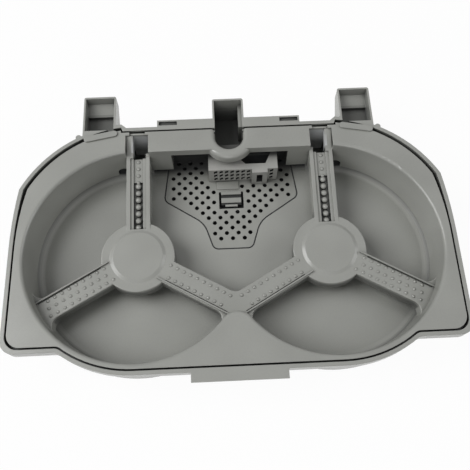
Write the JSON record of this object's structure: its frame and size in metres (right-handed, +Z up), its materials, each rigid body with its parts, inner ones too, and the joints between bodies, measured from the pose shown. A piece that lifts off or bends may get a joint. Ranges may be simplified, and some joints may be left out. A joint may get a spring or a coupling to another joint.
{
  "type": "mop washing tray",
  "caption": "Grey moulded washing tray of a mop cleaning station: round basins with hubs and scraper arms on a lift-out wash board, over a tub with a perforated filter plate and strainer cage.",
  "frame": {"origin": "on the surface that the tray stands on, midway between the two hub axes", "axes": "+X along the line through both hubs, to the right as seen from the front; +Y to the rear, where the channels reach out; +Z up"},
  "size_m": [0.3984, 0.2776, 0.0506],
  "materials": {
    "tray_plastic": "satin",
    "board_plastic": "satin",
    "filter_plastic": "satin",
    "cage_plastic": "satin"
  },
  "bodies": {
    "root": {"base_tray": "tray_plastic", "wash_board": "board_plastic", "filter_plate": "filter_plastic", "strainer_cage": "cage_plastic"}
  },
  "joints": []
}
